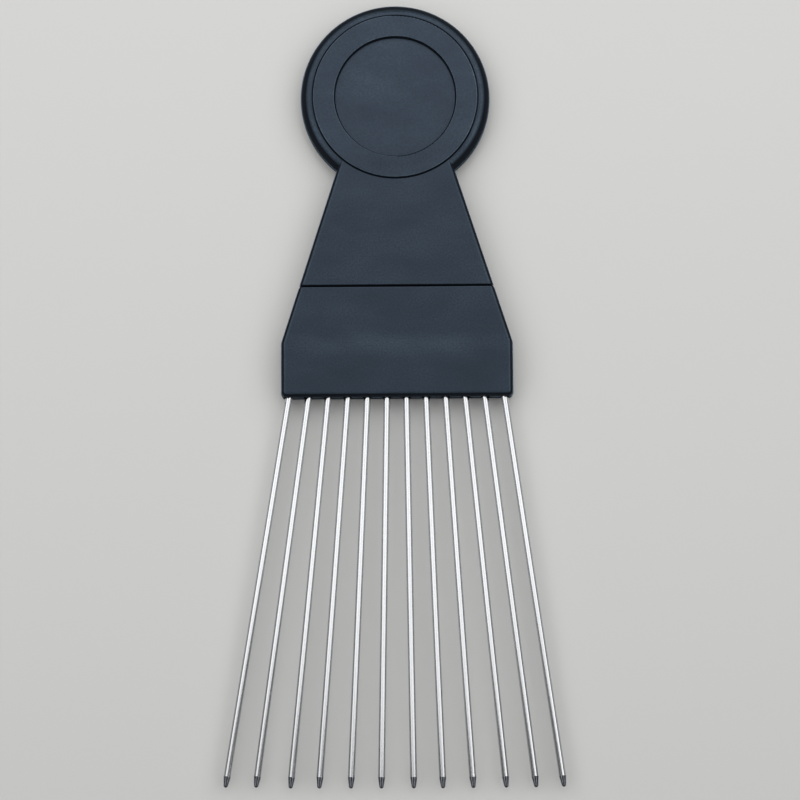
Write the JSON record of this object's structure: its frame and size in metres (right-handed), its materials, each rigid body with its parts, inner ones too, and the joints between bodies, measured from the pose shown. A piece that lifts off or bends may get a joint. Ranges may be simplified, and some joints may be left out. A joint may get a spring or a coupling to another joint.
{
  "type": "afro pick",
  "caption": "Afro pick: a fan of round steel pins set in a flat plastic comb block, with a tapered handle and a round head that has a dished cap.",
  "frame": {"origin": "on the back face, on the handle's centre line, halfway along the overall length, 1.3 mm from the comb block's lower edge", "axes": "+X across the pick, +Y from the pins towards the round head, +Z out of the front face"},
  "size_m": [0.0763, 0.1778, 0.0065],
  "materials": {
    "body_plastic": "dark blue-grey, satin with a very fine moulded grain",
    "cap_plastic": "dark blue-grey, satin with a very fine moulded grain",
    "pin_steel": "bright drawn wire, ground dark at the tip"
  },
  "bodies": {
    "root": {"comb_front_shell": "body_plastic", "comb_back_shell": "body_plastic", "handle_front_shell": "body_plastic", "handle_back_shell": "body_plastic", "head_front_cap": "cap_plastic", "head_back_cap": "cap_plastic", "pin_01": "pin_steel", "pin_02": "pin_steel", "pin_03": "pin_steel", "pin_04": "pin_steel", "pin_05": "pin_steel", "pin_06": "pin_steel", "pin_07": "pin_steel", "pin_08": "pin_steel", "pin_09": "pin_steel", "pin_10": "pin_steel", "pin_11": "pin_steel", "pin_12": "pin_steel"}
  },
  "joints": []
}
